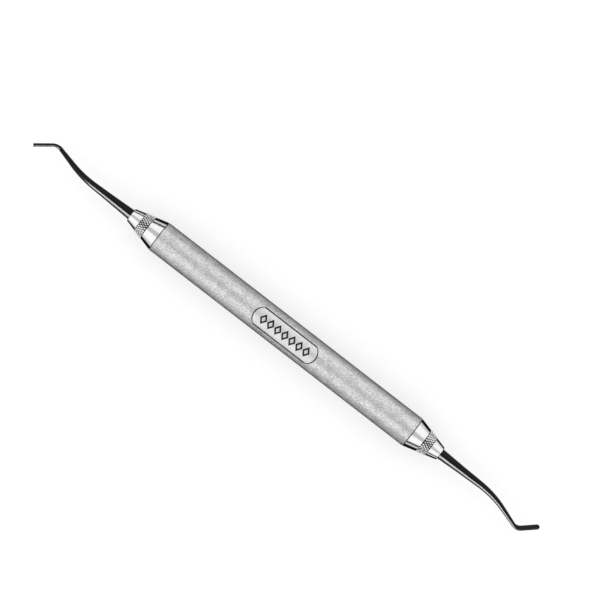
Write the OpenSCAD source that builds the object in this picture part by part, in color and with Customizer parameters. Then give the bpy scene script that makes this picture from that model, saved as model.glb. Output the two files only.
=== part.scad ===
// Double-ended dental hand scaler with a hollow handle and two screw-in tips.
// The handle lies along X, both tips bend in the XY plane, and +Z is the side with the marked panel.
// The origin is the middle of the handle, on its axis.
// Every part of an end is drawn along +X from the middle of the handle, and at_end() turns it to its side.

/* [Handle] */
// Outer diameter of the handle tube
handle_d = 9.5; // [8:0.5:12]
// Length of the handle tube
handle_l = 90; // [70:1:120]
// Wall of the handle tube
handle_wall = 0.6; // [0.4:0.1:0.9]
// Chamfer on the outer edges of the tube's two ends
handle_chamfer = 0.15; // [0.05:0.05:0.3]

/* [Marked panel] */
// Length of the engraved border
panel_l = 22; // [18:1:30]
// Width of the engraved border, seen from straight above
panel_w = 6.1; // [5:0.1:6.4]
// Radius of the border's two bowed ends
panel_end_r = 3.3; // [3.2:0.1:6]
// Turn of the panel about the handle's axis, away from straight up
panel_turn = 5; // [-20:1:20]
// Width of the border's line
line_w = 0.35; // [0.2:0.05:0.4]
// Depth of every engraved line
line_depth = 0.08; // [0.05:0.01:0.2]
// Number of lozenges in the ornament
lozenge_count = 7; // [3:1:7]
// Length of one lozenge along the handle
lozenge_l = 2.35; // [2:0.05:2.6]
// Width of one lozenge across the handle
lozenge_w = 3.4; // [2.4:0.1:3.8]
// Width of a lozenge's line
lozenge_line_w = 0.5; // [0.3:0.05:0.6]
// Gap between two lozenges
lozenge_gap = 0.15; // [0.1:0.05:0.4]

/* [Cone socket] */
// Length of the cone in front of the handle
cone_l = 10; // [8:0.5:14]
// Diameter of the cone's front face
cone_front_d = 4.1; // [3.4:0.1:5]
// Chamfer on the cone's edges
cone_chamfer = 0.15; // [0.05:0.05:0.25]
// Height of the knurled band over the plain cone
band_rise = 0.1; // [0.05:0.05:0.25]
// Width of the knurled band
band_l = 2.8; // [2:0.1:3.2]
// Distance from the handle to the knurled band
band_start = 3.9; // [3.6:0.1:5]

/* [Screw joint] */
// Outer diameter of the socket's screw thread
thread_d = 5; // [4:0.5:5.5]
// Pitch of the thread
thread_pitch = 0.8; // [0.5:0.1:1]
// Number of turns in mesh when the socket is screwed home
thread_turns = 7; // [5:1:9]
// Radial clearance of the thread, which is drawn plain at its outer diameter
thread_clearance = 0.05; // [0.03:0.01:0.08]
// Free depth past the end of the screw
thread_runout = 0.5; // [0.3:0.1:1]
// Wall that closes the inner end of the bush
bush_end_wall = 1.3; // [0.8:0.1:2]
// Depth of the bush's face below the end of the tube
bush_setback = 0.05; // [0.02:0.01:0.1]

/* [Seal ring] */
// Thickness of the seal ring
ring_section = 1; // [0.8:0.1:1.2]
// Inner diameter of the seal ring
ring_bore_d = 4; // [3.2:0.1:4.4]
// Clearance all round the seal ring
ring_clearance = 0.03; // [0.02:0.01:0.05]

/* [Shank] */
// Diameter of the tang that is pressed into the cone
tang_d = 2.2; // [1.8:0.1:2.5]
// Length of the tang
tang_l = 7; // [4:0.5:8]
// Diameter of the shank where it leaves the cone
shank_root_d = 3.2; // [2.6:0.1:3.5]
// Diameter of the shank where the flare at its root ends
shank_mid_d = 2.5; // [2:0.1:2.7]
// Length of that flare
flare_l = 7.5; // [4:0.5:7.5]
// Diameter of the shank at its elbow
shank_neck_d = 1.2; // [0.8:0.05:1.4]

/* [Blades] */
// Broad size of the blade
blade_w = 1.5; // [1:0.1:2.4]
// Thin size of the blade at its tip
blade_t = 1; // [0.4:0.05:1.2]
// Length over which the round shank turns into the flat blade
blade_blend_l = 2.2; // [1.5:0.1:3]

/* [Left tip] */
// Straight run of the shank from the cone
left_straight_l = 13; // [10:0.1:20]
// Radius of the first bend
left_bend_r = 34.5; // [10:0.5:60]
// Angle of the first bend
left_bend = 14.7; // [5:0.1:25]
// Straight run from the first bend to the elbow
left_neck_l = 5.3; // [2:0.1:12]
// Radius of the elbow
left_elbow_r = 3.1; // [0.9:0.1:4]
// Angle at which the blade crosses back over the handle's axis
left_blade_angle = 37.4; // [20:0.1:60]
// Length of the blade
left_blade_l = 5.4; // [5:0.1:9]
// Turn of the blade's flat about its own length
left_blade_turn = 90; // [0, 90]

/* [Right tip] */
// Straight run of the shank from the cone
right_straight_l = 14; // [10:0.1:20]
// Radius of the first bend
right_bend_r = 30; // [10:0.5:60]
// Angle of the first bend
right_bend = 18.3; // [5:0.1:25]
// Straight run from the first bend to the elbow
right_neck_l = 5.2; // [2:0.1:12]
// Radius of the elbow
right_elbow_r = 2.5; // [0.9:0.1:4]
// Angle at which the blade crosses back over the handle's axis
right_blade_angle = 41.9; // [20:0.1:60]
// Length of the blade
right_blade_l = 5.2; // [5:0.1:9]
// Turn of the blade's flat about its own length
right_blade_turn = 0; // [0, 90]

/* [Hidden] */
$fn = 96;

handle_r = handle_d / 2;
bore_r = handle_r - handle_wall;
handle_end = handle_l / 2;
cone_end = handle_end + cone_l;

// The seal ring sits round the neck of the screw, in a counterbore of the bush.
ring_mid_r = (ring_bore_d + ring_section) / 2;
seat_depth = ring_section + 2 * ring_clearance;
seat_r = ring_mid_r + ring_section / 2 + ring_clearance;
screw_neck_r = ring_bore_d / 2 - ring_clearance;

screw_r = thread_d / 2;
screw_l = seat_depth + thread_pitch * thread_turns;
screw_chamfer = thread_pitch / 2;
bush_bore_r = screw_r + thread_clearance;
bush_bore_l = screw_l + thread_runout;
bush_l = bush_bore_l + bush_end_wall;

ornament_l = lozenge_count * lozenge_l + (lozenge_count - 1) * lozenge_gap;
// Size of a lozenge inside its line, as a share of its whole size
lozenge_inner = 1 - 2 * lozenge_line_w * norm([lozenge_l, lozenge_w]) / (lozenge_l * lozenge_w);

// Each tip is a list of the lengths and angles of its run:
// straight, bend radius, bend, neck, elbow radius, elbow, blade length, turn of the blade's flat.
left_run = [
  left_straight_l, left_bend_r, left_bend, left_neck_l,
  left_elbow_r, left_bend + left_blade_angle, left_blade_l, left_blade_turn,
];
right_run = [
  right_straight_l, right_bend_r, right_bend, right_neck_l,
  right_elbow_r, right_bend + right_blade_angle, right_blade_l, right_blade_turn,
];

section_sides = 20;
bend_steps = 8;
elbow_steps = 8;
blade_steps = 6;
// Angles of the rings that round off the blade's tip, short of the very end
tip_angles = [0, 25, 45, 62, 75];
overlap = 0.5;

// ---- Placing ----

module along_x(start) {
  translate([start, 0, 0]) rotate([0, 90, 0]) children();
}

// The right end is the left end turned half round about Z.
module at_end(side) {
  rotate(side == "left" ? [0, 180, 0] : [180, 0, 0]) children();
}

// ---- Handle ----

// Half outline of the handle before it is bored
module handle_profile() {
  difference() {
    translate([0, -handle_end]) square([handle_r, handle_l]);
    for (end = [-1, 1])
      translate([handle_r, end * handle_end]) rotate(45)
        square(handle_chamfer * sqrt(2), center = true);
  }
}

// A strip whose two ends bow outwards.
module panel_shape(length, width) {
  end_l = panel_end_r - sqrt(max(0, pow(panel_end_r, 2) - pow(width / 2, 2)));
  square([length - 2 * end_l, width], center = true);
  for (end = [-1, 1])
    intersection() {
      translate([end * (length / 2 - panel_end_r), 0]) circle(panel_end_r);
      translate([end * (length / 2 - end_l), 0]) square([2 * end_l, width], center = true);
    }
}

module lozenge(length, width) {
  polygon([[length / 2, 0], [0, width / 2], [-length / 2, 0], [0, -width / 2]]);
}

module panel_border() {
  difference() {
    panel_shape(panel_l, panel_w);
    panel_shape(panel_l - 2 * line_w, panel_w - 2 * line_w);
  }
}

module ornament() {
  for (i = [0 : lozenge_count - 1])
    translate([(lozenge_l - ornament_l) / 2 + i * (lozenge_l + lozenge_gap), 0])
      difference() {
        lozenge(lozenge_l, lozenge_w);
        lozenge(lozenge_inner * lozenge_l, lozenge_inner * lozenge_w);
      }
}

// The lines are cut to an even depth below the round surface.
module engraving() {
  rotate([panel_turn, 0, 0])
    difference() {
      linear_extrude(handle_d) {
        panel_border();
        ornament();
      }
      along_x(-panel_l) cylinder(r = handle_r - line_depth, h = 2 * panel_l);
    }
}

module handle_tube() {
  color("silver")
    difference() {
      difference() {
        along_x(0) rotate_extrude() handle_profile();
        engraving();
      }
      along_x(-handle_end - overlap) cylinder(r = bore_r, h = handle_l + 2 * overlap);
    }
}

// ---- Ends ----

module end_bush() {
  face = handle_end - bush_setback;
  color("gainsboro")
    difference() {
      along_x(face - bush_l) cylinder(r = bore_r, h = bush_l);
      along_x(handle_end - bush_bore_l) cylinder(r = bush_bore_r, h = bush_bore_l);
      along_x(handle_end - seat_depth) cylinder(r = seat_r, h = seat_depth);
    }
}

module seal_ring() {
  color("dimgray")
    along_x(handle_end - seat_depth / 2)
      rotate_extrude() translate([ring_mid_r, 0]) circle(d = ring_section);
}

// Radius of the plain cone at a distance from the handle
function cone_r(x) = handle_r + (cone_front_d / 2 - handle_r) * x / cone_l;

// Half outline of the socket, from the nose of the screw round to the foot of the tang's hole
function socket_outline() = [
  [0, -screw_l],
  [screw_r - screw_chamfer, -screw_l],
  [screw_r, screw_chamfer - screw_l],
  [screw_r, -seat_depth],
  [screw_neck_r, -seat_depth],
  [screw_neck_r, 0],
  [cone_r(cone_chamfer) - cone_chamfer, 0],
  [cone_r(cone_chamfer), cone_chamfer],
  [cone_r(band_start), band_start],
  [cone_r(band_start) + band_rise, band_start],
  [cone_r(band_start + band_l) + band_rise, band_start + band_l],
  [cone_r(band_start + band_l), band_start + band_l],
  [cone_r(cone_l - cone_chamfer), cone_l - cone_chamfer],
  [cone_front_d / 2 - cone_chamfer, cone_l],
  [tang_d / 2, cone_l],
  [tang_d / 2, cone_l - tang_l],
  [0, cone_l - tang_l],
];

module cone_socket() {
  color("whitesmoke")
    along_x(handle_end) rotate_extrude() polygon(socket_outline());
}

// ---- Tips ----

function ramp(t) = let (c = min(max(t, 0), 1)) c * c * (3 - 2 * c);

// Distances along the centreline at which the run changes
function bend_from(run) = run[0];
function bend_to(run) = bend_from(run) + run[1] * run[2] * PI / 180;
function elbow_from(run) = bend_to(run) + run[3];
function elbow_to(run) = elbow_from(run) + run[4] * run[5] * PI / 180;
function run_end(run) = elbow_to(run) + run[6];

// Direction of the centreline, in degrees from the handle's axis
function heading(run, s) =
  s <= bend_from(run) ? 0
  : s <= bend_to(run) ? run[2] * (s - bend_from(run)) / (bend_to(run) - bend_from(run))
  : s <= elbow_from(run) ? run[2]
  : s <= elbow_to(run) ? run[2] - run[5] * (s - elbow_from(run)) / (elbow_to(run) - elbow_from(run))
  : run[2] - run[5];

function ahead(run, s) = [cos(heading(run, s)), sin(heading(run, s))];
function aside(run, s) = [-sin(heading(run, s)), cos(heading(run, s))];

// Point of the centreline at distance s: each stretch starts where the one before it ends.
function spot(run, s) =
  s <= bend_from(run) ? [cone_end + s, 0]
  : s <= bend_to(run) ?
    spot(run, bend_from(run)) + run[1] * (aside(run, bend_from(run)) - aside(run, s))
  : s <= elbow_from(run) ? spot(run, bend_to(run)) + (s - bend_to(run)) * ahead(run, s)
  : s <= elbow_to(run) ?
    spot(run, elbow_from(run)) + run[4] * (aside(run, s) - aside(run, elbow_from(run)))
  : spot(run, elbow_to(run)) + (s - elbow_to(run)) * ahead(run, s);

// Distances of the rings: even steps in each stretch, then a rounded tip
function stations(run) = concat(
  [0, flare_l],
  [for (i = [0 : bend_steps]) bend_from(run) + i / bend_steps * (bend_to(run) - bend_from(run))],
  [(bend_to(run) + elbow_from(run)) / 2],
  [for (i = [0 : elbow_steps])
    elbow_from(run) + i / elbow_steps * (elbow_to(run) - elbow_from(run))],
  [for (i = [1 : blade_steps])
    elbow_to(run) + i / (blade_steps + 1) * (run[6] - blade_w / 2)],
  [for (a = tip_angles) run_end(run) - blade_w / 2 * (1 - sin(a))]
);

function flatness(run, s) = ramp((s - elbow_from(run)) / blade_blend_l);
function mix(a, b, t) = a + (b - a) * min(1, t);
function shank_r(run, s) =
  s < flare_l ? mix(shank_root_d, shank_mid_d, s / flare_l) / 2
  : mix(shank_mid_d, shank_neck_d, (s - flare_l) / (elbow_from(run) - flare_l)) / 2;
// How much of the blade's broad size is left near its rounded tip
function tip_share(run, s) =
  let (past = max(0, (s - run_end(run)) / (blade_w / 2) + 1)) sqrt(max(0, 1 - past * past));

function broad_r(run, s) =
  shank_r(run, s) + flatness(run, s) * (blade_w / 2 * tip_share(run, s) - shank_r(run, s));
function thin_r(run, s) = shank_r(run, s) + flatness(run, s) * (blade_t / 2 - shank_r(run, s));

// A ring is a circle on the shank and a rounded rectangle on the blade.
function signed_power(v, p) = sign(v) * pow(abs(v), p);
function ring(run, s) =
  let (
    power = 1 - 0.35 * flatness(run, s),
    across = run[7] == 0 ? broad_r(run, s) : thin_r(run, s),
    up = run[7] == 0 ? thin_r(run, s) : broad_r(run, s)
  )
  [for (i = [0 : section_sides - 1])
    let (
      a = 360 * (i + 0.5) / section_sides,
      p = spot(run, s) + across * signed_power(cos(a), power) * aside(run, s)
    )
    [p.x, p.y, up * signed_power(sin(a), power)]];

module swept_tip(run) {
  rings = [for (s = stations(run)) ring(run, s)];
  sides = section_sides;
  last = (len(rings) - 1) * sides;
  polyhedron(
    points = [for (r = rings) each r],
    faces = concat(
      [[for (i = [0 : sides - 1]) i]],
      [for (j = [0 : len(rings) - 2], i = [0 : sides - 1])
        let (next = (i + 1) % sides)
        each [
          [j * sides + i, (j + 1) * sides + i, (j + 1) * sides + next],
          [j * sides + i, (j + 1) * sides + next, j * sides + next],
        ]],
      [[for (i = [sides - 1 : -1 : 0]) last + i]]
    )
  );
}

module tip(run) {
  color([0.12, 0.12, 0.13]) {
    swept_tip(run);
    along_x(cone_end - tang_l) cylinder(d = tang_d, h = tang_l + overlap);
  }
}

handle_tube();
at_end("left") end_bush();  // left_end_bush
at_end("right") end_bush();  // right_end_bush
at_end("left") seal_ring();  // left_seal_ring
at_end("right") seal_ring();  // right_seal_ring
at_end("left") cone_socket();  // left_cone_socket
at_end("right") cone_socket();  // right_cone_socket
at_end("left") tip(left_run);  // left_tip
at_end("right") tip(right_run);  // right_tip
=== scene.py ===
"""Finished look of a double-ended hand scaler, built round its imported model.

The handle lies along X and rests on the floor, both tips bend in the XY plane, and +Z is the panel's side.
Every piece of an end is drawn along +X from the middle of the handle, and END_TURNS takes it to its side.
"""

import math

import bmesh
import bpy
from mathutils import Matrix, Vector


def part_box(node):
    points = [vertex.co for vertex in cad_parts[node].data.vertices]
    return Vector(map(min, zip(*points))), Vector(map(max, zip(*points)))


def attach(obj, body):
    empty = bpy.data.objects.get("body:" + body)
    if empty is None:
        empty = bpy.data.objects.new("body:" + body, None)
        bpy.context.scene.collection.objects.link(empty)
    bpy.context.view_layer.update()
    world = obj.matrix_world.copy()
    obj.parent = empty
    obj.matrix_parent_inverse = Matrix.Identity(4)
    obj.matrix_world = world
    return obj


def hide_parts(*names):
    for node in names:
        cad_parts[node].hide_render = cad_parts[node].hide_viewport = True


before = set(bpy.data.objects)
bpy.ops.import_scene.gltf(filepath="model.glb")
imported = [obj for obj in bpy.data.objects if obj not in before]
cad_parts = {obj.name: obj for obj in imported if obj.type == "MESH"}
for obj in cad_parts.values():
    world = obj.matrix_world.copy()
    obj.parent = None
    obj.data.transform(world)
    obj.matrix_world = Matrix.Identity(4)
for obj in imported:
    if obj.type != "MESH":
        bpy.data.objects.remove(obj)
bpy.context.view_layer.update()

bl_info = {
    "name": "Hand scaler",
    "version": (1, 0, 0),
    "blender": (4, 5, 0),
    "location": "3D View > Sidebar > Hand scaler",
    "description": "Makes the handle, sockets, seals and tips of a double-ended hand scaler",
    "category": "Object",
}

MM = 0.001

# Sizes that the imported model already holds
HANDLE_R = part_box("handle_tube")[1].z
HANDLE_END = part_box("handle_tube")[1].x
CONE_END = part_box("right_cone_socket")[1].x
SCREW_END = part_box("right_cone_socket")[0].x
BUSH_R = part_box("right_end_bush")[1].z
BUSH_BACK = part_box("right_end_bush")[0].x
BUSH_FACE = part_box("right_end_bush")[1].x
RING_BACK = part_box("right_seal_ring")[0].x
RING_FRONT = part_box("right_seal_ring")[1].x
RING_OUTER_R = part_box("right_seal_ring")[1].z

END_TURNS = {"left": Matrix.Rotation(math.pi, 4, "Y"), "right": Matrix.Rotation(math.pi, 4, "X")}

# Numbers of facets
TUBE_SIDES = 192
SOCKET_SIDES = 160
RING_SIDES = 96
RING_SECTION_SIDES = 32
TIP_SIDES = 48
TANG_SIDES = 48

# Shares and small sizes of the knurl and the threads
KNURL_TOP = 0.55  # of a diamond's foot
KNURL_SINK = 0.03 * MM  # reach of the diamonds into the floor of their band
# Depths at which the painted shade in the knurl's grooves is darkest and where it ends
GROOVE_SHADE_DARKEST, GROOVE_SHADE_END = 0.95, 0.5  # of the knurl's depth
THREAD_FOOT, SCREW_CREST, BUSH_CREST = 0.75, 0.12, 0.2  # of the pitch
THREAD_SINK = 0.02 * MM  # reach of the ridges into what carries them
CREST_ROOM = 0.04 * MM  # room between the bush's ridge and the screw's core

# Rings of the tips
RUN_STEPS = (8, 6, 18, 10, 24, 12)
NOSE_RINGS = 12
NOSE_STEP = math.radians(7.8)
WALK_STEPS = 40


# ---- Settings ----


def length(name, description, millimetres):
    """A length property, with its default in millimetres"""
    return bpy.props.FloatProperty(
        name=name, description=description, default=millimetres * MM, precision=5, unit="LENGTH"
    )


def angle(name, description, degrees):
    """An angle property, with its default in degrees"""
    return bpy.props.FloatProperty(
        name=name, description=description, default=math.radians(degrees), subtype="ANGLE"
    )


def count(name, description, number):
    """A property that counts things"""
    return bpy.props.IntProperty(name=name, description=description, default=number, min=1)


def share(name, description, value):
    """A property from 0 to 1"""
    return bpy.props.FloatProperty(
        name=name, description=description, default=value, min=0, max=1, subtype="FACTOR"
    )


def level(name, description, value):
    """A brightness property, where 1 is white"""
    return bpy.props.FloatProperty(name=name, description=description, default=value, min=0)


def colour(name, description, value):
    """A colour property"""
    return bpy.props.FloatVectorProperty(
        name=name, description=description, default=value, size=3, min=0, max=1, subtype="COLOR"
    )


class HandleSettings(bpy.types.PropertyGroup):
    """Sizes of the handle and its marked panel"""

    wall: length("Wall", "Wall of the handle tube", 0.6)
    end_round: length("End rounding", "Rounding of the tube's outer edges", 0.15)
    panel_length: length("Panel length", "Length of the engraved border", 22)
    panel_width: length("Panel width", "Width of the engraved border, seen from above", 6.1)
    panel_end_radius: length("Panel end radius", "Radius of the border's bowed ends", 3.3)
    panel_turn: angle("Panel turn", "Turn of the panel about the handle's axis", 5)
    line_width: length("Line width", "Width of the border's line", 0.35)
    line_depth: length("Line depth", "Depth of every engraved line", 0.08)
    lozenge_count: count("Lozenges", "Number of lozenges in the ornament", 7)
    lozenge_length: length("Lozenge length", "Length of one lozenge along the handle", 2.35)
    lozenge_width: length("Lozenge width", "Width of one lozenge across the handle", 3.4)
    lozenge_line: length("Lozenge line", "Width of a lozenge's line", 0.5)
    lozenge_gap: length("Lozenge gap", "Gap between two lozenges", 0.15)


class SocketSettings(bpy.types.PropertyGroup):
    """Sizes of the cone socket, its knurled band and its screw"""

    front_diameter: length("Front diameter", "Diameter of the cone's front face", 4.1)
    edge_round: length("Edge rounding", "Rounding of the cone's edges", 0.15)
    band_rise: length("Band rise", "Height of the knurled band over the plain cone", 0.1)
    band_width: length("Band width", "Width of the knurled band", 2.8)
    band_start: length("Band start", "Distance from the handle to the knurled band", 3.9)
    knurls_around: count("Knurls around", "Number of diamonds round the band", 28)
    knurl_layers: count("Knurl layers", "Number of staggered layers of diamonds across the band", 4)
    knurl_depth: length("Knurl depth", "Depth of the knurled grooves", 0.25)
    tang_diameter: length("Tang diameter", "Diameter of the tang pressed into the cone", 2.2)
    tang_length: length("Tang length", "Length of the tang", 7)
    thread_pitch: length("Thread pitch", "Travel of the socket in one turn", 0.8)
    thread_depth: length("Thread depth", "Depth of the thread", 0.46)
    thread_clearance: length("Thread clearance", "Radial clearance of the thread", 0.05)
    ring_clearance: length("Ring clearance", "Clearance all round the seal ring", 0.03)


def tip_settings(straight, bend_radius, bend, neck, elbow_radius, blade_angle, blade_length, turn):
    """The properties of one tip's run, with their defaults in millimetres and degrees"""
    return {
        "straight": length("Straight", "Straight run of the shank from the cone", straight),
        "bend_radius": length("Bend radius", "Radius of the first bend", bend_radius),
        "bend": angle("Bend", "Angle of the first bend", bend),
        "neck": length("Neck", "Straight run from the first bend to the elbow", neck),
        "elbow_radius": length("Elbow radius", "Radius of the elbow", elbow_radius),
        "blade_angle": angle("Blade angle", "Angle at which the blade crosses the axis", blade_angle),
        "blade_length": length("Blade length", "Length of the blade", blade_length),
        "blade_upright": bpy.props.BoolProperty(
            name="Blade upright", description="Whether the blade's broad side stands upright", default=turn
        ),
    }


class LeftTipSettings(bpy.types.PropertyGroup):
    """Run of the left tip"""

    __annotations__ = tip_settings(13, 34.5, 14.7, 5.3, 3.1, 37.4, 5.4, True)


class RightTipSettings(bpy.types.PropertyGroup):
    """Run of the right tip"""

    __annotations__ = tip_settings(14, 30, 18.3, 5.2, 2.5, 41.9, 5.2, False)


class ShankSettings(bpy.types.PropertyGroup):
    """Sections of both shanks and blades"""

    root_diameter: length("Root diameter", "Diameter of the shank where it leaves the cone", 3.2)
    middle_diameter: length("Middle diameter", "Diameter of the shank where its root's flare ends", 2.5)
    flare: length("Flare", "Length of the root's flare", 7.5)
    neck_diameter: length("Neck diameter", "Diameter of the shank at its elbow", 1.2)
    blade_width: length("Blade width", "Broad size of the blade", 1.5)
    blade_thickness: length("Blade thickness", "Thin size of the blade", 1)
    blade_blend: length("Blade blend", "Length over which the shank turns into the blade", 2.2)


class FinishSettings(bpy.types.PropertyGroup):
    """Colours of the finishes"""

    blasted_steel: colour("Blasted steel", "Colour of the handle", (0.53, 0.53, 0.53))
    panel_steel: colour("Panel steel", "Colour of the ground panel", (0.60, 0.60, 0.60))
    # This colour also paints the shade on the chamfer at the joint between handle and cone
    engraving: colour("Engraving", "Colour inside the engraved lines", (0.03, 0.03, 0.031))
    polished_steel: colour("Polished steel", "Colour of the cone sockets", (0.69, 0.69, 0.695))
    turned_steel: colour("Turned steel", "Colour of the bushes and screws", (0.62, 0.62, 0.63))
    black_coating: colour("Black coating", "Colour of the tips", (0.004, 0.004, 0.0045))
    worn_coating: colour("Worn coating", "Colour of the tips' rubbed edges", (0.02, 0.02, 0.021))
    silicone: colour("Silicone", "Colour of the seal rings", (0.06, 0.06, 0.065))


class StageSettings(bpy.types.PropertyGroup):
    """Floor, lights and camera"""

    floor_size: length("Floor size", "Side of the floor", 6000)
    floor_colour: colour("Floor colour", "Colour of the floor", (0.97, 0.97, 0.97))
    floor_glow: share("Floor glow", "Share of plain white in the floor as the camera sees it", 0.6)
    sky_level: level("Sky level", "Brightness of the surroundings", 0.74)
    front_level: level("Front softbox level", "Brightness of the softbox on the -Y side", 0.70)
    back_level: level("Back softbox level", "Brightness of the softbox on the +Y side", 0.62)
    softbox_height: angle("Softbox height", "Height of the softboxes' middles above the floor", 39.5)
    softbox_reach: length("Softbox distance", "Distance from the handle to each softbox", 600)
    softbox_length: length("Softbox length", "Length of each softbox along the handle", 2000)
    softbox_width: length("Softbox width", "Width of each softbox", 764)
    strip_level: level("Strip light level", "Brightness of the strip light for the tips", 60)
    strip_height: angle("Strip light height", "Height of the strip light above the floor", 37)
    strip_reach: length("Strip light distance", "Distance from the handle to the strip light", 300)
    strip_length: length("Strip light length", "Length of the strip light", 250)
    strip_width: length("Strip light width", "Width of the strip light", 250)
    card_reach: length("Card distance", "Distance from the handle to each dark card", 350)
    card_length: length("Card length", "Length of each dark card", 480)
    card_width: length("Card width", "Height of each dark card", 105)
    view_width: length("View width", "Width that the camera takes in", 168.9)
    view_x: length("View X", "Middle of the view along X", -2.73)
    view_y: length("View Y", "Middle of the view along Y", 10.07)
    view_turn: angle("View turn", "Turn of the camera about its line of sight", 37.72)
    lens: bpy.props.FloatProperty(
        name="Lens", description="Focal length of the camera", default=180, min=1, unit="CAMERA"
    )


class ScalerSettings(bpy.types.PropertyGroup):
    """Everything about the hand scaler that can be changed"""

    handle: bpy.props.PointerProperty(type=HandleSettings)
    socket: bpy.props.PointerProperty(type=SocketSettings)
    left_tip: bpy.props.PointerProperty(type=LeftTipSettings)
    right_tip: bpy.props.PointerProperty(type=RightTipSettings)
    shank: bpy.props.PointerProperty(type=ShankSettings)
    finish: bpy.props.PointerProperty(type=FinishSettings)
    stage: bpy.props.PointerProperty(type=StageSettings)


# ---- Node trees ----


def add(tree, kind, inputs=(), **settings):
    """Adds a node. An input's value is a plain value, or the socket that is linked to it."""
    node = tree.nodes.new(kind)
    for name, value in settings.items():
        setattr(node, name, value)
    for name, value in dict(inputs).items():
        if isinstance(value, bpy.types.NodeSocket):
            tree.links.new(value, node.inputs[name])
        else:
            node.inputs[name].default_value = value
    return node


def math_of(tree, operation, first, second=0.0):
    """The result of a Math node"""
    kind = "ShaderNodeMath"
    return add(tree, kind, {0: first, 1: second}, operation=operation).outputs[0]


# ---- Finishes ----


def start_material(name):
    """A new material, its tree, its shader and its Object coordinates"""
    material = bpy.data.materials.new(name)
    material.use_nodes = True
    tree = material.node_tree
    shader = tree.nodes["Principled BSDF"]
    place = tree.nodes.new("ShaderNodeTexCoord").outputs["Object"]
    return material, tree, shader, place


def noise(tree, place, grain, detail=3.0, roughness=0.6):
    """Noise whose grains measure about the given length"""
    sizes = {"Vector": place, "Scale": 1 / grain, "Detail": detail, "Roughness": roughness}
    return add(tree, "ShaderNodeTexNoise", sizes).outputs["Fac"]


def stretched(tree, place, scale):
    """Coordinates scaled along each axis"""
    return add(tree, "ShaderNodeMapping", {"Vector": place, "Scale": scale}).outputs["Vector"]


def spread(tree, value, low, high, start=0.35, end=0.65):
    """A noise value taken to a range"""
    sizes = {"Value": value, "From Min": start, "From Max": end, "To Min": low, "To Max": high}
    return add(tree, "ShaderNodeMapRange", sizes).outputs["Result"]


def blended(tree, blend_type, factor, first, second):
    """Two colours in one Mix node, whose colour sockets are its inputs 6 and 7 and its output 2"""
    sizes = {0: factor, 6: first, 7: second}
    return add(tree, "ShaderNodeMix", sizes, data_type="RGBA", blend_type=blend_type).outputs[2]


def shaded(tree, colour_value, strength):
    """A colour, lighter and darker by a strength about 1"""
    grey = add(tree, "ShaderNodeCombineColor", {"Red": strength, "Green": strength, "Blue": strength})
    return blended(tree, "MULTIPLY", 1.0, (*colour_value, 1), grey.outputs[0])


def painted_edge_shade(tree, start, end, darkest):
    """Painted shade: 1 where the surface faces the viewer, falling to the darkest value where it turns
    away, so that a colour darkens towards its outlines
    """
    facing = add(tree, "ShaderNodeLayerWeight", {"Blend": 0.5}).outputs["Facing"]
    return spread(tree, facing, 1.0, darkest, start, end)


def make_metal(shader, edge_tint):
    """Makes a shader a metal, with a grey tint of its grazing reflections"""
    shader.inputs["Metallic"].default_value = 1.0
    shader.inputs["Specular Tint"].default_value = (edge_tint, edge_tint, edge_tint, 1)


def bumped(tree, shader, height, strength, depth):
    """Gives a shader a bump of that depth"""
    sizes = {"Height": height, "Strength": strength, "Distance": depth}
    tree.links.new(add(tree, "ShaderNodeBump", sizes).outputs["Normal"], shader.inputs["Normal"])


def blasted_steel(name, colour_value, grain_strength):
    """Satin steel with the stipple of bead blasting, a cloudy tone, faint handling marks and painted shade
    towards its outlines
    """
    material, tree, shader, place = start_material(name)
    stipple = noise(tree, place, 0.36 * MM, detail=3.0, roughness=0.7)
    pits = noise(tree, place, 0.09 * MM, detail=2.0)
    cloud = noise(tree, place, 2.4 * MM, detail=4.0, roughness=0.7)
    marks = noise(tree, stretched(tree, place, (1, 14, 14)), 4 * MM, detail=3.0)
    tone = math_of(tree, "MULTIPLY",
                   spread(tree, stipple, 1 - grain_strength, 1 + grain_strength),
                   spread(tree, cloud, 1 - grain_strength / 3, 1 + grain_strength / 3))
    # Painted shade: the colour falls to 60% where the surface turns away from the viewer
    tone = math_of(tree, "MULTIPLY", tone, painted_edge_shade(tree, start=0.15, end=0.6, darkest=0.6))
    tree.links.new(shaded(tree, colour_value, tone), shader.inputs["Base Color"])
    rough = math_of(tree, "ADD", spread(tree, pits, 0.38, 0.46), spread(tree, marks, -0.02, 0.03))
    tree.links.new(rough, shader.inputs["Roughness"])
    make_metal(shader, edge_tint=0.0)
    height = math_of(tree, "ADD", math_of(tree, "MULTIPLY", stipple, 0.7), pits)
    bumped(tree, shader, height, 0.55, 0.03 * MM)
    return material


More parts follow.
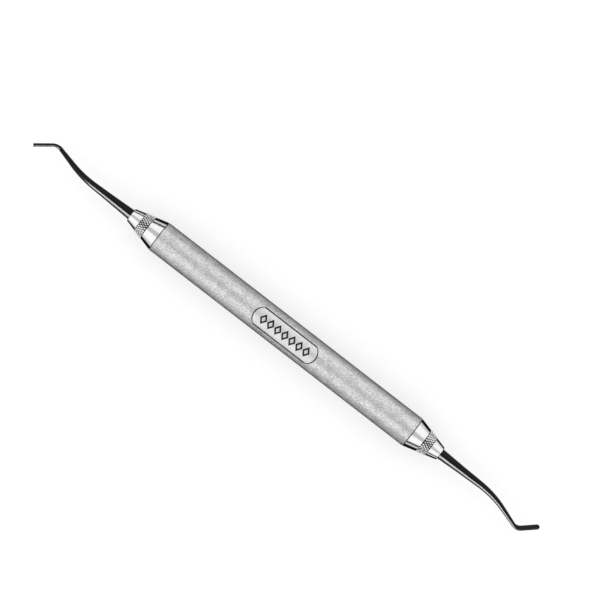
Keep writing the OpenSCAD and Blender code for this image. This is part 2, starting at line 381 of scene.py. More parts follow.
def polished_steel(name, colour_value, roughness, groove_shade=None):
    """Bright steel with fine turning rings and polishing marks, painted dark outlines where it turns away,
    and painted shade down in the grooves of a cone
    """
    material, tree, shader, place = start_material(name)
    rings = noise(tree, stretched(tree, place, (1, 0.02, 0.02)), 0.05 * MM, detail=2.0)
    marks = noise(tree, stretched(tree, place, (1, 5, 5)), 0.6 * MM, detail=4.0)
    smears = noise(tree, place, 1.6 * MM, detail=3.0)
    # Painted shade: the colour falls to 9% towards the outlines, where the surface turns away from the
    # viewer
    tone = math_of(tree, "MULTIPLY", spread(tree, smears, 0.96, 1.01),
                   painted_edge_shade(tree, start=0.37, end=0.46, darkest=0.09))
    # Painted shade in a knurl's grooves: darker the deeper a point lies below the crest
    if groove_shade:
        slope, floor, top = groove_shade
        across = stretched(tree, place, (0, 1, 1))
        radius = add(tree, "ShaderNodeVectorMath", {0: across}, operation="LENGTH").outputs["Value"]
        along = math_of(tree, "ABSOLUTE", add(tree, "ShaderNodeSeparateXYZ", {0: place}).outputs["X"])
        height = math_of(tree, "ADD", radius, math_of(tree, "MULTIPLY", along, slope))
        tone = math_of(tree, "MULTIPLY", tone, spread(tree, height, 0.03, 1.0, floor, top))
    tree.links.new(shaded(tree, colour_value, tone), shader.inputs["Base Color"])
    rough = math_of(tree, "ADD", spread(tree, marks, roughness * 0.7, roughness * 1.4),
                    spread(tree, rings, 0.0, 0.02))
    tree.links.new(rough, shader.inputs["Roughness"])
    make_metal(shader, edge_tint=0.0)
    bumped(tree, shader, rings, 0.12, 0.004 * MM)
    return material


def turned_steel(name, colour_value):
    """Plain steel with the rings that a lathe tool leaves"""
    material, tree, shader, place = start_material(name)
    rings = noise(tree, stretched(tree, place, (1, 0.05, 0.05)), 0.08 * MM, detail=3.0)
    stains = noise(tree, place, 1.2 * MM, detail=4.0)
    tone = spread(tree, stains, 0.86, 1.04)
    tree.links.new(shaded(tree, colour_value, tone), shader.inputs["Base Color"])
    tree.links.new(spread(tree, rings, 0.2, 0.34), shader.inputs["Roughness"])
    make_metal(shader, edge_tint=0.4)
    bumped(tree, shader, rings, 0.4, 0.01 * MM)
    return material


def dark_matt_finish(name, colour_value):
    """The dark, matt floor of an engraved line, also used as painted shade on the chamfer at the joint
    between handle and cone
    """
    material, tree, shader, place = start_material(name)
    burr = noise(tree, place, 0.12 * MM, detail=3.0)
    tree.links.new(shaded(tree, colour_value, spread(tree, burr, 0.6, 1.5)), shader.inputs["Base Color"])
    tree.links.new(spread(tree, burr, 0.5, 0.7), shader.inputs["Roughness"])
    shader.inputs["Metallic"].default_value = 1.0
    bumped(tree, shader, burr, 0.5, 0.02 * MM)
    return material


def black_coating(name, colour_value, worn_value):
    """Gloss black coating, a little paler and duller where its edges are rubbed"""
    material, tree, shader, place = start_material(name)
    patches = noise(tree, place, 0.5 * MM, detail=4.0)
    specks = noise(tree, place, 0.08 * MM, detail=2.0)
    wear = tree.nodes.new("ShaderNodeAttribute")
    wear.attribute_name = "rubbed_edge"
    amount = math_of(tree, "MULTIPLY", wear.outputs["Fac"], spread(tree, patches, 0.2, 1.0))
    worn = blended(tree, "MIX", amount, (*colour_value, 1), (*worn_value, 1))
    tree.links.new(worn, shader.inputs["Base Color"])
    rough = math_of(tree, "ADD", spread(tree, patches, 0.12, 0.15), math_of(tree, "MULTIPLY", amount, 0.5))
    tree.links.new(rough, shader.inputs["Roughness"])
    shader.inputs["Specular IOR Level"].default_value = 0.12
    bumped(tree, shader, specks, 0.02, 0.004 * MM)
    return material


def silicone(name, colour_value):
    """Matt dark silicone with a dusty bloom"""
    material, tree, shader, place = start_material(name)
    bloom = noise(tree, place, 0.5 * MM, detail=4.0)
    tree.links.new(shaded(tree, colour_value, spread(tree, bloom, 0.8, 1.5)), shader.inputs["Base Color"])
    tree.links.new(spread(tree, bloom, 0.5, 0.68), shader.inputs["Roughness"])
    bumped(tree, shader, noise(tree, place, 0.06 * MM), 0.3, 0.01 * MM)
    return material


# ---- Shapes ----


def rounded(outline, radius, steps=4):
    """An outline of (x, r) points with its inner corners turned into arcs, where the sides leave room"""
    points = [Vector(p) for p in outline]
    result = [points[0]]
    for before, corner, after in zip(points, points[1:], points[2:]):
        to_before, to_after = before - corner, after - corner
        half_turn = to_before.angle(to_after) / 2
        reach = min(radius / math.tan(half_turn), 0.4 * to_before.length, 0.4 * to_after.length)
        start = corner + reach * to_before.normalized()
        end = corner + reach * to_after.normalized()
        for i in range(steps + 1):
            t = i / steps
            result.append((1 - t) ** 2 * start + 2 * t * (1 - t) * corner + t * t * end)
    return result + [points[-1]]


def skin(rings, closed_tube=False, rubbed=()):
    """A mesh over rings of points, with both ends closed or the last ring joined to the first

    Where it is given, rubbed holds each point's share of wear, which becomes the attribute rubbed_edge.
    """
    mesh = bpy.data.meshes.new("skin")
    sides = len(rings[0])
    faces = []
    for j in range(len(rings) if closed_tube else len(rings) - 1):
        a, b = j * sides, (j + 1) % len(rings) * sides
        faces += [(a + i, a + (i + 1) % sides, b + (i + 1) % sides, b + i) for i in range(sides)]
    if not closed_tube:
        faces.append(tuple(reversed(range(sides))))
        faces.append(tuple(range((len(rings) - 1) * sides, len(rings) * sides)))
    mesh.from_pydata([p for ring in rings for p in ring], [], faces)
    if rubbed:
        mesh.attributes.new("rubbed_edge", "FLOAT", "POINT").data.foreach_set("value", rubbed)
    return cleaned(mesh)


def cleaned(mesh):
    """The mesh with its doubles merged and its faces turned outwards"""
    shape = bmesh.new()
    shape.from_mesh(mesh)
    bmesh.ops.remove_doubles(shape, verts=shape.verts, dist=1e-7)
    bmesh.ops.recalc_face_normals(shape, faces=shape.faces)
    shape.to_mesh(mesh)
    shape.free()
    return mesh


def lathe(outline, sides=SOCKET_SIDES, closed_tube=False):
    """A solid turned about X from (x, r) points; an outline that ends on the axis is closed there"""
    rings = []
    for x, r in outline:
        turns = [2 * math.pi * i / sides for i in range(sides)]
        rings.append([(x, -r * math.sin(a), r * math.cos(a)) for a in turns])
    return skin(rings, closed_tube)


def smoothed(mesh, sharp_degrees=32):
    """Smooth shading, with edges sharper than an angle kept crisp"""
    mesh.shade_smooth()
    mesh.set_sharp_from_angle(angle=math.radians(sharp_degrees))
    return mesh


def piece(name, parts, turn, body, node):
    """A finished piece of (mesh, materials) parts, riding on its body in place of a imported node"""
    whole = bmesh.new()
    mesh = bpy.data.meshes.new(name)
    for part, materials in parts:
        first = len(mesh.materials)
        for material in materials:
            mesh.materials.append(material)
        known = len(whole.faces)
        whole.from_mesh(part)
        whole.faces.ensure_lookup_table()
        for face in whole.faces[known:]:
            face.material_index = first + min(face.material_index, len(materials) - 1)
    whole.transform(turn)
    whole.to_mesh(mesh)
    whole.free()
    made = bpy.data.objects.new(name, smoothed(mesh))
    bpy.context.scene.collection.objects.link(made)
    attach(made, body)
    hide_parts(node)
    return made


def outcome(tree, sizes):
    """The plain mesh that a Geometry Nodes tree makes from its named sizes"""
    holder = bpy.data.objects.new(tree.name, bpy.data.meshes.new(tree.name))
    bpy.context.scene.collection.objects.link(holder)
    modifier = holder.modifiers.new(tree.name, "NODES")
    modifier.node_group = tree
    for item in tree.interface.items_tree:
        if item.in_out == "INPUT" and item.name in sizes:
            modifier[item.identifier] = sizes[item.name]
    evaluated = holder.evaluated_get(bpy.context.evaluated_depsgraph_get())
    mesh = bpy.data.meshes.new_from_object(evaluated)
    holder.modifiers.remove(modifier)
    bpy.data.objects.remove(holder)
    return mesh


def start_tree(name, inputs):
    """A Geometry Nodes tree with named inputs, each a (name, socket kind)"""
    tree = bpy.data.node_groups.new(name, "GeometryNodeTree")
    tree.interface.new_socket("Geometry", in_out="OUTPUT", socket_type="NodeSocketGeometry")
    for label, kind in inputs:
        tree.interface.new_socket(label, in_out="INPUT", socket_type=kind)
    return tree, tree.nodes.new("NodeGroupInput").outputs


def end_tree(tree, geometry, material):
    """Ends a tree in Realize Instances and Set Material"""
    real = add(tree, "GeometryNodeRealizeInstances", {"Geometry": geometry}).outputs[0]
    finished = add(tree, "GeometryNodeSetMaterial", {"Geometry": real, "Material": material}).outputs[0]
    add(tree, "NodeGroupOutput", {"Geometry": finished})


def knurl_tree(material):
    """Layers of truncated diamonds round a cone: every second layer is turned by half a diamond"""
    whole, decimal = "NodeSocketInt", "NodeSocketFloat"
    tree, size = start_tree("Diamond knurl", [
        ("Around", whole), ("Layers", whole), ("Start", decimal), ("Width", decimal),
        ("Start radius", decimal), ("End radius", decimal), ("Depth", decimal), ("Sink", decimal),
        ("Flat", decimal),
    ])
    total = math_of(tree, "MULTIPLY", size["Layers"], size["Around"])
    index = tree.nodes.new("GeometryNodeInputIndex").outputs[0]
    layer = math_of(tree, "FLOOR", math_of(tree, "DIVIDE", index, size["Around"]))
    shift = math_of(tree, "MULTIPLY", math_of(tree, "MODULO", layer, 2.0), 0.5)
    step = math_of(tree, "ADD", math_of(tree, "MODULO", index, size["Around"]), shift)
    turn = math_of(tree, "DIVIDE", math_of(tree, "MULTIPLY", step, 2 * math.pi), size["Around"])
    half_length = math_of(tree, "DIVIDE", size["Width"], math_of(tree, "ADD", size["Layers"], 0.5))
    along = math_of(tree, "MULTIPLY", math_of(tree, "ADD", layer, 0.75), half_length)
    narrowing = math_of(tree, "SUBTRACT", size["Start radius"], size["End radius"])
    tilt = math_of(tree, "ARCTAN2", narrowing, size["Width"])
    fall = math_of(tree, "MULTIPLY", math_of(tree, "DIVIDE", along, size["Width"]), narrowing)
    radius = math_of(tree, "SUBTRACT", size["Start radius"], fall)
    half_width = math_of(tree, "DIVIDE", math_of(tree, "MULTIPLY", radius, math.pi), size["Around"])
    foot = math_of(tree, "SUBTRACT", radius, math_of(tree, "ADD", size["Depth"], size["Sink"]))
    place = add(tree, "ShaderNodeCombineXYZ", {
        "X": math_of(tree, "ADD", size["Start"], along),
        "Y": math_of(tree, "MULTIPLY", math_of(tree, "SINE", turn), math_of(tree, "MULTIPLY", foot, -1.0)),
        "Z": math_of(tree, "MULTIPLY", math_of(tree, "COSINE", turn), foot),
    }).outputs[0]
    points = add(tree, "GeometryNodePoints", {"Count": total, "Position": place}).outputs[0]
    diamond = add(tree, "GeometryNodeMeshCone", {
        "Vertices": 4, "Radius Top": size["Flat"], "Radius Bottom": 1.0, "Depth": 1.0,
    }).outputs["Mesh"]
    scale = add(tree, "ShaderNodeCombineXYZ", {
        "X": half_length, "Y": half_width, "Z": math_of(tree, "ADD", size["Depth"], size["Sink"]),
    }).outputs[0]
    tilted = add(tree, "ShaderNodeCombineXYZ", {"Y": tilt}).outputs[0]
    turned = add(tree, "ShaderNodeCombineXYZ", {"X": turn}).outputs[0]
    rotation = add(tree, "FunctionNodeRotateRotation", {
        "Rotation": tilted, "Rotate By": turned,
    }, rotation_space="GLOBAL").outputs[0]
    diamonds = add(tree, "GeometryNodeInstanceOnPoints", {
        "Points": points, "Instance": diamond, "Rotation": rotation, "Scale": scale,
    }).outputs[0]
    end_tree(tree, diamonds, material)
    return tree


def thread_tree(material):
    """A right-handed helical ridge along X, which stands out from a core or in from a bore"""
    decimal = "NodeSocketFloat"
    tree, size = start_tree("Screw thread", [
        ("Start", decimal), ("Turns", decimal), ("Pitch", decimal), ("Inner radius", decimal),
        ("Outer radius", decimal), ("Inner width", decimal), ("Outer width", decimal),
    ])
    both = math_of(tree, "ADD", size["Inner radius"], size["Outer radius"])
    middle = math_of(tree, "MULTIPLY", both, 0.5)
    helix = add(tree, "GeometryNodeCurveSpiral", {
        "Resolution": 48, "Rotations": size["Turns"], "Start Radius": middle, "End Radius": middle,
        "Height": math_of(tree, "MULTIPLY", size["Turns"], size["Pitch"]), "Reverse": True,
    }).outputs[0]
    steady = add(tree, "GeometryNodeSetCurveNormal", {"Curve": helix}, mode="Z_UP").outputs[0]
    section = add(tree, "GeometryNodeCurvePrimitiveQuadrilateral", {
        "Height": math_of(tree, "SUBTRACT", size["Outer radius"], size["Inner radius"]),
        "Bottom Width": size["Inner width"], "Top Width": size["Outer width"], "Offset": 0.0,
    }, mode="TRAPEZOID").outputs[0]
    upright = add(tree, "GeometryNodeTransform", {
        "Geometry": section, "Rotation": (0, 0, -math.pi / 2),
    }).outputs[0]
    ridge = add(tree, "GeometryNodeCurveToMesh", {
        "Curve": steady, "Profile Curve": upright, "Fill Caps": True,
    }).outputs[0]
    place = add(tree, "ShaderNodeCombineXYZ", {"X": size["Start"]}).outputs[0]
    laid = add(tree, "GeometryNodeTransform", {
        "Geometry": ridge, "Translation": place, "Rotation": (0, math.pi / 2, 0),
    }).outputs[0]
    end_tree(tree, laid, material)
    return tree


# ---- Handle ----


def bowed_strip(strip_length, width, end_radius, steps=14):
    """The outline of a strip whose two ends bow outwards"""
    reach = math.asin(min(1.0, width / 2 / end_radius))
    middle = strip_length / 2 - end_radius
    outline = []
    for side in (1, -1):
        for i in range(steps + 1):
            a = reach * (2 * i / steps - 1)
            outline.append((side * (middle + end_radius * math.cos(a)), side * end_radius * math.sin(a)))
    return outline


def lozenge(middle, lozenge_length, width, steps=8):
    """The outline of a lozenge, with enough points to follow the round surface"""
    corners = [(lozenge_length / 2, 0), (0, width / 2), (-lozenge_length / 2, 0), (0, -width / 2)]
    outline = []
    for (x0, y0), (x1, y1) in zip(corners, corners[1:] + corners[:1]):
        outline += [(middle + x0 + (x1 - x0) * i / steps, y0 + (y1 - y0) * i / steps) for i in range(steps)]
    return outline


def line_cutter(outer, inner, depth):
    """The solid that cuts the line between two outlines to an even depth below the handle's surface"""
    def floor_of(y):
        return math.sqrt((HANDLE_R - depth) ** 2 - y * y)

    top = HANDLE_R + 5 * depth
    return skin([
        [(x, y, top) for x, y in outer], [(x, y, floor_of(y)) for x, y in outer],
        [(x, y, floor_of(y)) for x, y in inner], [(x, y, top) for x, y in inner],
    ], closed_tube=True)


def engraving_cutter(sizes):
    """The solids that cut the border and its row of lozenges"""
    line = sizes.line_width
    cutters = [line_cutter(
        bowed_strip(sizes.panel_length, sizes.panel_width, sizes.panel_end_radius),
        bowed_strip(sizes.panel_length - 2 * line, sizes.panel_width - 2 * line, sizes.panel_end_radius),
        sizes.line_depth,
    )]
    pitch = sizes.lozenge_length + sizes.lozenge_gap
    reach = math.hypot(sizes.lozenge_length, sizes.lozenge_width)
    inside = 1 - 2 * sizes.lozenge_line * reach / (sizes.lozenge_length * sizes.lozenge_width)
    for i in range(sizes.lozenge_count):
        middle = (i - (sizes.lozenge_count - 1) / 2) * pitch
        outer = lozenge(middle, sizes.lozenge_length, sizes.lozenge_width)
        inner = lozenge(middle, inside * sizes.lozenge_length, inside * sizes.lozenge_width)
        cutters.append(line_cutter(outer, inner, sizes.line_depth))
    whole = bmesh.new()
    for cutter in cutters:
        whole.from_mesh(cutter)
    whole.transform(Matrix.Rotation(sizes.panel_turn, 4, "X"))
    mesh = bpy.data.meshes.new("engraving_cutter")
    whole.to_mesh(mesh)
    whole.free()
    return mesh


def cut(mesh, cutter):
    """The mesh with a cutter's shape taken away"""
    body = bpy.data.objects.new("uncut", mesh)
    tool = bpy.data.objects.new("cutter", cutter)
    for made in (body, tool):
        bpy.context.scene.collection.objects.link(made)
    modifier = body.modifiers.new("cut", "BOOLEAN")
    modifier.object = tool
    modifier.solver = "EXACT"
    result = bpy.data.meshes.new_from_object(body.evaluated_get(bpy.context.evaluated_depsgraph_get()))
    for made in (body, tool):
        bpy.data.objects.remove(made)
    return result


def mark_panel(mesh, sizes):
    """Gives the engraved lines and the ground panel between them their own finishes"""
    untwist = Matrix.Rotation(-sizes.panel_turn, 4, "X")
    straight = sizes.panel_length / 2 - sizes.panel_end_radius
    for face in mesh.polygons:
        middle = untwist @ face.center
        r = math.hypot(middle.y, middle.z)
        beyond = max(0.0, abs(middle.x) - straight)
        in_width = abs(middle.y) < sizes.panel_width / 2
        in_ends = math.hypot(beyond, middle.y) < sizes.panel_end_radius
        if in_width and in_ends and middle.z > 0 and r > HANDLE_R - 2 * sizes.line_depth:
            surface_r = HANDLE_R * math.cos(math.pi / TUBE_SIDES)
            face.material_index = 2 if r > surface_r - sizes.line_depth / 8 else 1


class MakeHandle(bpy.types.Operator):
    """Makes the blasted handle tube with its engraved panel"""

    bl_idname = "hand_scaler.make_handle"
    bl_label = "Handle"

    def execute(self, context):
        settings = context.scene.hand_scaler
        sizes, finish = settings.handle, settings.finish
        bore_r = HANDLE_R - sizes.wall
        half = [
            (0, bore_r), (HANDLE_END, bore_r), (HANDLE_END, HANDLE_R - sizes.end_round),
            (HANDLE_END - sizes.end_round, HANDLE_R), (0, HANDLE_R),
        ]
        right = rounded(half, sizes.end_round / 3)
        outline = [Vector((-p.x, p.y)) for p in reversed(right[1:-1])] + right[1:-1]
        tube = cut(lathe(outline, TUBE_SIDES, closed_tube=True), engraving_cutter(sizes))
        mark_panel(tube, sizes)
        finishes = [
            blasted_steel("blasted_steel", finish.blasted_steel, grain_strength=0.35),
            dark_matt_finish("engraved_line", finish.engraving),
            blasted_steel("panel_steel", finish.panel_steel, grain_strength=0.12),
        ]
        piece("handle", [(tube, finishes)], Matrix(), "handle", "handle_tube")
        return {"FINISHED"}


# ---- Ends ----


def thread_sizes(sizes, start, turns, inner_r, outer_r, inner_share, outer_share):
    """The sizes of one thread, with its ridge's widths as shares of the pitch"""
    return {
        "Start": start, "Turns": turns, "Pitch": sizes.thread_pitch, "Inner radius": inner_r,
        "Outer radius": outer_r, "Inner width": inner_share * sizes.thread_pitch,
        "Outer width": outer_share * sizes.thread_pitch,
    }


class MakeEndBushes(bpy.types.Operator):
    """Makes the threaded bush in each end of the handle"""

    bl_idname = "hand_scaler.make_end_bushes"
    bl_label = "End bushes"

    def execute(self, context):
        settings = context.scene.hand_scaler
        sizes = settings.socket
        steel = turned_steel("turned_steel", settings.finish.turned_steel)
        seat_floor = RING_BACK - sizes.ring_clearance
        seat_r = RING_OUTER_R + sizes.ring_clearance
        bore_r = screw_radius() + sizes.thread_clearance
        bore_end = SCREW_END - sizes.thread_pitch / 2
        outline = rounded([
            (BUSH_BACK, 0), (BUSH_BACK, BUSH_R), (BUSH_FACE, BUSH_R), (BUSH_FACE, seat_r),
            (seat_floor, seat_r), (seat_floor, bore_r), (bore_end, bore_r), (bore_end, 0),
        ], 0.06 * MM)
        # Half a pitch on from the screw's ridge, so that the two mesh
        start = SCREW_END + sizes.thread_pitch
        turns = (seat_floor - start) / sizes.thread_pitch - 0.4
        ridge = outcome(thread_tree(steel), thread_sizes(
            sizes, start, turns, bore_r - sizes.thread_depth + CREST_ROOM, bore_r + THREAD_SINK,
            BUSH_CREST, THREAD_FOOT))
        for side, turn in END_TURNS.items():
            parts = [(lathe(outline), [steel]), (ridge, [steel])]
            piece(f"{side}_bush", parts, turn, "handle", f"{side}_end_bush")
        return {"FINISHED"}


class MakeSealRings(bpy.types.Operator):
    """Makes the silicone ring behind each cone socket"""

    bl_idname = "hand_scaler.make_seal_rings"
    bl_label = "Seal rings"

    def execute(self, context):
        settings = context.scene.hand_scaler
        rubber = silicone("silicone", settings.finish.silicone)
        middle_x = (RING_BACK + RING_FRONT) / 2
        section_r = (RING_FRONT - RING_BACK) / 2
        middle_r = RING_OUTER_R - section_r
        outline = []
        for i in range(RING_SECTION_SIDES):
            a = 2 * math.pi * i / RING_SECTION_SIDES
            outline.append((middle_x + section_r * math.cos(a), middle_r + section_r * math.sin(a)))
        for side, turn in END_TURNS.items():
            ring = lathe(outline, RING_SIDES, closed_tube=True)
            piece(f"{side}_ring", [(ring, [rubber])], turn,
                  f"{side}_seal", f"{side}_seal_ring")
        return {"FINISHED"}


def screw_radius():
    """Radius over the screw thread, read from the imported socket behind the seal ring"""
    far = [v.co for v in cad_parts["right_cone_socket"].data.vertices if v.co.x < RING_BACK - 0.5 * MM]
    return max(math.hypot(p.y, p.z) for p in far)


def cone_radius(sizes, x):
    """Radius of the plain cone at a place along X"""
    return HANDLE_R + (sizes.front_diameter / 2 - HANDLE_R) * (x - HANDLE_END) / (CONE_END - HANDLE_END)


def socket_outline(sizes):
    """Half outline of the socket without its knurls and thread, from the screw's nose to the tang's hole"""
    pitch = sizes.thread_pitch
    core_r = screw_radius() - sizes.thread_depth
    neck_r = RING_OUTER_R - (RING_FRONT - RING_BACK) - sizes.ring_clearance
    seat = RING_BACK - sizes.ring_clearance
    band_from = HANDLE_END + sizes.band_start
    band_to = band_from + sizes.band_width
    sink = sizes.knurl_depth - sizes.band_rise

    def cone_r(x):
        return cone_radius(sizes, x)

    return [
        (SCREW_END, 0), (SCREW_END, core_r - pitch / 4), (SCREW_END + pitch / 4, core_r),
        (seat - pitch / 4, core_r), (seat, neck_r),
        (HANDLE_END, neck_r), (HANDLE_END, cone_r(HANDLE_END) - sizes.edge_round),
        (HANDLE_END + sizes.edge_round, cone_r(HANDLE_END + sizes.edge_round)),
        (band_from, cone_r(band_from)), (band_from, cone_r(band_from) - sink),
        (band_to, cone_r(band_to) - sink), (band_to, cone_r(band_to)),
        (CONE_END - sizes.edge_round, cone_r(CONE_END - sizes.edge_round)),
        (CONE_END, cone_r(CONE_END) - sizes.edge_round),
        (CONE_END, sizes.tang_diameter / 2), (CONE_END - sizes.tang_length, sizes.tang_diameter / 2),
        (CONE_END - sizes.tang_length, 0),
    ]


def mark_socket(mesh, sizes):
    """Gives the floor of the knurled band its knurled finish, which carries painted shade in the grooves,
    and the chamfer at the handle a dark finish that paints the shade of the joint
    """
    band_from = HANDLE_END + sizes.band_start
    sink = sizes.knurl_depth - sizes.band_rise
    chamfer_from, chamfer_to = HANDLE_END - MM / 100, HANDLE_END + sizes.edge_round
    for face in mesh.polygons:
        x, r = face.center.x, math.hypot(face.center.y, face.center.z)
        if band_from < x < band_from + sizes.band_width and r < cone_radius(sizes, x) - sink / 2:
            face.material_index = 1
        # Painted shade: the chamfer next to the handle is darkened for the shade in the joint
        elif chamfer_from < x < chamfer_to and r > HANDLE_R - 2 * sizes.edge_round:
            face.material_index = 2


class MakeConeSockets(bpy.types.Operator):
    """Makes both polished cone sockets with their knurled bands and screws"""

    bl_idname = "hand_scaler.make_cone_sockets"
    bl_label = "Cone sockets"

    def execute(self, context):
        settings = context.scene.hand_scaler
        sizes, finish = settings.socket, settings.finish
        bright = polished_steel("polished_steel", finish.polished_steel, roughness=0.15)
        band_from = HANDLE_END + sizes.band_start
        band_to = band_from + sizes.band_width
        start_r = cone_radius(sizes, band_from) + sizes.band_rise
        end_r = cone_radius(sizes, band_to) + sizes.band_rise
        # Slope and radii of the painted shade down in the knurl's grooves
        slope = (start_r - end_r) / sizes.band_width
        crest = start_r + slope * band_from
        dark, light = crest - GROOVE_SHADE_DARKEST * sizes.knurl_depth, crest - GROOVE_SHADE_END * sizes.knurl_depth
        knurled = polished_steel(
            "knurled_steel", finish.polished_steel, roughness=0.2, groove_shade=(slope, dark, light))
        # Painted shade: a dark matt finish on the chamfer stands in for the shade in the groove between
        # handle and cone
        joint_shade = dark_matt_finish("joint_painted_shade", finish.engraving)
        turned = bpy.data.materials["turned_steel"]
        diamonds = outcome(knurl_tree(knurled), {
            "Around": sizes.knurls_around, "Layers": sizes.knurl_layers, "Start": band_from,
            "Width": sizes.band_width, "Start radius": start_r, "End radius": end_r,
            "Depth": sizes.knurl_depth, "Sink": KNURL_SINK, "Flat": KNURL_TOP,
        })
        screw_r = screw_radius()
        turns = (RING_BACK - SCREW_END) / sizes.thread_pitch - 1
        ridge = outcome(thread_tree(turned), thread_sizes(
            sizes, SCREW_END + sizes.thread_pitch / 2, turns,
            screw_r - sizes.thread_depth - THREAD_SINK, screw_r, THREAD_FOOT, SCREW_CREST))
        for side, turn in END_TURNS.items():
            body = lathe(rounded(socket_outline(sizes), 0.05 * MM))
            mark_socket(body, sizes)
            parts = [(body, [bright, knurled, joint_shade]), (diamonds, [knurled]), (ridge, [turned])]
            piece(f"{side}_socket", parts, turn,
                  f"{side}_tip_unit", f"{side}_cone_socket")
        return {"FINISHED"}


# ---- Tips ----


class Run:
    """The centreline and sections of one tip: straight, bend, neck, elbow and blade"""

    def __init__(self, sizes, shank):
        self.sizes, self.shank = sizes, shank
        self.elbow = sizes.bend + sizes.blade_angle
        self.bend_from = sizes.straight
        self.bend_to = self.bend_from + sizes.bend_radius * sizes.bend
        self.elbow_from = self.bend_to + sizes.neck
        self.elbow_to = self.elbow_from + sizes.elbow_radius * self.elbow
        self.end = self.elbow_to + sizes.blade_length

    def heading(self, s):
        """Direction of the centreline at a distance, as an angle from the handle's axis"""
        bent = min(max(s - self.bend_from, 0), self.bend_to - self.bend_from) / self.sizes.bend_radius
        turned = min(max(s - self.elbow_from, 0), self.elbow_to - self.elbow_from) / self.sizes.elbow_radius
        return bent - turned

    def stations(self):
        """Distances of the rings: close together in the bends and at the rounded tip"""
        edges = [0, self.shank.flare, self.bend_from, self.bend_to, self.elbow_from, self.elbow_to]
        edges.append(self.end - self.shank.blade_width / 2)
        result = []
        for start, end, steps in zip(edges, edges[1:], RUN_STEPS):
            result += [start + (end - start) * i / steps for i in range(steps)]
        for i in range(NOSE_RINGS):
            result.append(self.end - self.shank.blade_width / 2 * (1 - math.sin(NOSE_STEP * i)))
        return result

    def centreline(self):
        """The (distance, point) of every station, worked out in short straight steps"""
        place, before, result = Vector((CONE_END, 0)), 0.0, []
        for s in self.stations():
            for i in range(WALK_STEPS):
                h = self.heading(before + (s - before) * (i + 0.5) / WALK_STEPS)
                place = place + (s - before) / WALK_STEPS * Vector((math.cos(h), math.sin(h)))
            before = s
            result.append((s, place.copy()))
        return result

    def section(self, s):
        """Half width, half thickness and flatness of the section at a distance"""
        t = min(max((s - self.elbow_from) / self.shank.blade_blend, 0), 1)
        flatness = t * t * (3 - 2 * t)
        root, middle, neck = (
            self.shank.root_diameter / 2, self.shank.middle_diameter / 2, self.shank.neck_diameter / 2)
        if s < self.shank.flare:
            round_r = root + (middle - root) * s / self.shank.flare
        else:
            taper = min(1, (s - self.shank.flare) / (self.elbow_from - self.shank.flare))
            round_r = middle + (neck - middle) * taper
        past = max(0, (s - self.end) / (self.shank.blade_width / 2) + 1)
        width = self.shank.blade_width / 2 * math.sqrt(max(0, 1 - past * past))
        thickness = self.shank.blade_thickness / 2
        return round_r + flatness * (width - round_r), round_r + flatness * (thickness - round_r), flatness


def signed_power(value, power):
    """A power that keeps its value's sign"""
    return math.copysign(abs(value) ** power, value)


def tip_mesh(run, sides=TIP_SIDES):
    """The shank and blade as one skin, with the rubbed edges of the blade marked"""
    rings, rubbed = [], []
    for s, place in run.centreline():
        broad, thin, flatness = run.section(s)
        across, up = (thin, broad) if run.sizes.blade_upright else (broad, thin)
        aside = Vector((-math.sin(run.heading(s)), math.cos(run.heading(s))))
        power = 1 - 0.35 * flatness
        ring = []
        for i in range(sides):
            a = 2 * math.pi * (i + 0.5) / sides
            point = place + across * signed_power(math.cos(a), power) * aside
            ring.append((point.x, point.y, up * signed_power(math.sin(a), power)))
            rubbed.append(flatness * (0.4 + 0.6 * abs(math.sin(2 * a)) ** 3))
        rings.append(ring)
    return skin(rings, rubbed=rubbed)


class MakeTips(bpy.types.Operator):
    """Makes both black-coated tips"""

    bl_idname = "hand_scaler.make_tips"
    bl_label = "Tips"

    def execute(self, context):
        settings = context.scene.hand_scaler
        finish = settings.finish
        coating = black_coating("black_coating", finish.black_coating, finish.worn_coating)
        turned = bpy.data.materials["turned_steel"]
        tang_r = settings.socket.tang_diameter / 2
        tang_end = CONE_END - settings.socket.tang_length
        outline = [(tang_end, 0), (tang_end, tang_r), (CONE_END, tang_r), (CONE_END, 0)]
        tang = lathe(rounded(outline, 0.1 * MM), TANG_SIDES)
        for side, turn in END_TURNS.items():
            run = Run(getattr(settings, f"{side}_tip"), settings.shank)
            parts = [(tip_mesh(run), [coating]), (tang, [turned])]
            piece(f"{side}_shank_and_blade", parts, turn,
                  f"{side}_tip_unit", f"{side}_tip")
        return {"FINISHED"}


# ---- Stage ----


def softbox(name, brightness, elevation, azimuth, distance, width, height):
    """A rectangular lamp that faces the handle; its long side runs across its line to the handle"""
    lamp = bpy.data.lights.new(name, "AREA")
    lamp.shape = "RECTANGLE"
    lamp.size, lamp.size_y = width, height
    lamp.energy = brightness * math.pi * width * height
    made = bpy.data.objects.new(name, lamp)
    away = Vector((math.cos(elevation) * math.cos(azimuth), math.cos(elevation) * math.sin(azimuth),
                   math.sin(elevation)))
    made.location = distance * away
    made.rotation_euler = away.to_track_quat("Z", "Y").to_euler()
    made.visible_camera = False
    bpy.context.scene.collection.objects.link(made)
    return made


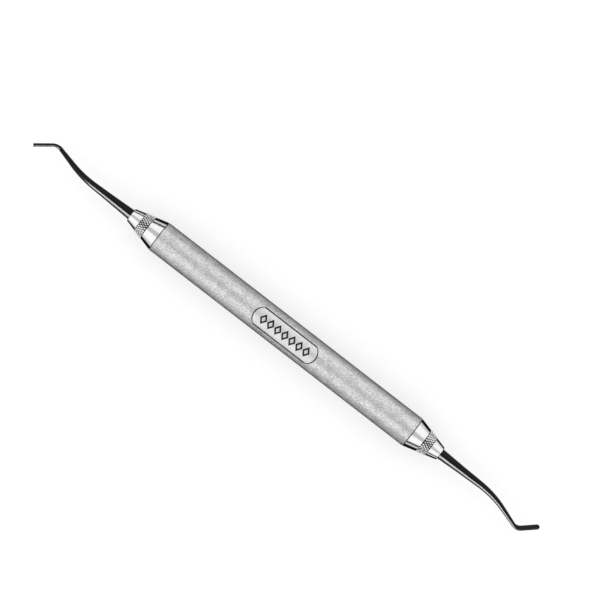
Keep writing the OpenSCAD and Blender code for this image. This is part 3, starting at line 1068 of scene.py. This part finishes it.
class MakeStage(bpy.types.Operator):
    """Makes the floor, the soft lights, the surroundings and the camera"""

    bl_idname = "hand_scaler.make_stage"
    bl_label = "Stage"

    def execute(self, context):
        settings = context.scene.hand_scaler.stage
        self.make_floor(settings)
        self.make_lights(context, settings)
        self.make_cards(settings)
        self.make_camera(context, settings)
        context.scene.view_settings.view_transform = "Standard"
        return {"FINISHED"}

    def make_floor(self, settings):
        """A plain pale floor under the handle"""
        half = settings.floor_size / 2
        mesh = bpy.data.meshes.new("floor")
        corners = [(-half, -half), (half, -half), (half, half), (-half, half)]
        mesh.from_pydata([(x, y, -HANDLE_R) for x, y in corners], [], [(0, 1, 2, 3)])
        floor = bpy.data.objects.new("floor", mesh)
        bpy.context.scene.collection.objects.link(floor)
        material, tree, shader, place = start_material("floor_paper")
        fibres = noise(tree, place, 3 * MM)
        tree.links.new(shaded(tree, settings.floor_colour, spread(tree, fibres, 0.995, 1.0)),
                       shader.inputs["Base Color"])
        shader.inputs["Roughness"].default_value = 0.9
        shader.inputs["Specular IOR Level"].default_value = 0.0
        rays = add(tree, "ShaderNodeLightPath").outputs
        seen = math_of(tree, "ADD", rays["Is Camera Ray"],
                       math_of(tree, "ADD", rays["Is Glossy Ray"], rays["Is Transmission Ray"]))
        white = add(tree, "ShaderNodeEmission", {"Strength": 1.0}).outputs[0]
        both = add(tree, "ShaderNodeMixShader", {
            0: math_of(tree, "MULTIPLY", seen, settings.floor_glow), 1: shader.outputs[0], 2: white,
        }).outputs[0]
        tree.links.new(both, tree.nodes["Material Output"].inputs["Surface"])
        mesh.materials.append(material)

    def make_lights(self, context, settings):
        """Two long softboxes with a gap over the handle, in even pale surroundings"""
        world = bpy.data.worlds.new("surroundings")
        context.scene.world = world
        world.use_nodes = True
        background = world.node_tree.nodes["Background"]
        background.inputs["Color"].default_value = (1, 1, 1, 1)
        background.inputs["Strength"].default_value = settings.sky_level
        for name, brightness, azimuth in (
            ("front_softbox", settings.front_level, -math.pi / 2),
            ("back_softbox", settings.back_level, math.pi / 2),
        ):
            softbox(name, brightness, settings.softbox_height, azimuth, settings.softbox_reach,
                    settings.softbox_length, settings.softbox_width)
        strip = softbox("strip_light", settings.strip_level, settings.strip_height, -math.pi / 2,
                        settings.strip_reach, settings.strip_length, settings.strip_width)
        tips = bpy.data.collections.new("lit_by_strip")
        for side in END_TURNS:
            tips.objects.link(bpy.data.objects[f"{side}_shank_and_blade"])
        strip.light_linking.receiver_collection = tips
        strip.visible_diffuse = False

    def make_cards(self, settings):
        """A low dark card at the top and bottom of the view, which only the polished cones show"""
        material, tree, shader, place = start_material("card")
        nap = noise(tree, place, 2 * MM)
        tone = spread(tree, nap, 0.8, 1.2)
        tree.links.new(shaded(tree, (0.01, 0.01, 0.01), tone), shader.inputs["Base Color"])
        for name, half_turn in (("top_card", math.pi / 2), ("bottom_card", -math.pi / 2)):
            across = Matrix.Rotation(settings.view_turn + half_turn, 4, "Z")
            low, high = -HANDLE_R, settings.card_width - HANDLE_R
            half = settings.card_length / 2
            corners = [(-half, low), (half, low), (half, high), (-half, high)]
            mesh = bpy.data.meshes.new(name)
            points = [across @ Vector((settings.card_reach, y, z)) for y, z in corners]
            mesh.from_pydata(points, [], [(0, 1, 2, 3)])
            mesh.materials.append(material)
            card = bpy.data.objects.new(name, mesh)
            card.visible_camera = card.visible_diffuse = card.visible_shadow = False
            bpy.context.scene.collection.objects.link(card)

    def make_camera(self, context, settings):
        """A long lens straight above, turned so that the handle falls to the lower right"""
        lens = bpy.data.cameras.new("camera")
        lens.lens = settings.lens
        camera = bpy.data.objects.new("camera", lens)
        distance = settings.view_width / lens.sensor_width * lens.lens
        camera.location = (settings.view_x, settings.view_y, distance)
        camera.rotation_euler = (0, 0, settings.view_turn)
        context.scene.collection.objects.link(camera)
        context.scene.camera = camera


# ---- Add-on ----


class ScalerPanel(bpy.types.Panel):
    """Lists what makes each piece, and its settings"""

    bl_idname = "VIEW3D_PT_hand_scaler"
    bl_label = "Hand scaler"
    bl_space_type = "VIEW_3D"
    bl_region_type = "UI"
    bl_category = "Hand scaler"

    def draw(self, context):
        for operator in PIECES:
            self.layout.operator(operator.bl_idname)
        settings = context.scene.hand_scaler
        for group in ScalerSettings.__annotations__:
            box = self.layout.box()
            box.label(text=group.replace("_", " ").capitalize())
            for name in getattr(settings, group).bl_rna.properties.keys():
                if name not in ("rna_type", "name"):
                    box.prop(getattr(settings, group), name)


PIECES = (MakeHandle, MakeEndBushes, MakeSealRings, MakeConeSockets, MakeTips, MakeStage)
GROUPS = (
    HandleSettings, SocketSettings, LeftTipSettings, RightTipSettings, ShankSettings,
    FinishSettings, StageSettings, ScalerSettings,
)


def register():
    for part in (*GROUPS, *PIECES, ScalerPanel):
        bpy.utils.register_class(part)
    bpy.types.Scene.hand_scaler = bpy.props.PointerProperty(type=ScalerSettings)


def unregister():
    del bpy.types.Scene.hand_scaler
    for part in reversed((*GROUPS, *PIECES, ScalerPanel)):
        bpy.utils.unregister_class(part)


def main():
    """Makes every piece in order"""
    register()
    for operator in PIECES:
        group, name = operator.bl_idname.split(".")
        getattr(getattr(bpy.ops, group), name)()


if __name__ == "__main__":
    main()
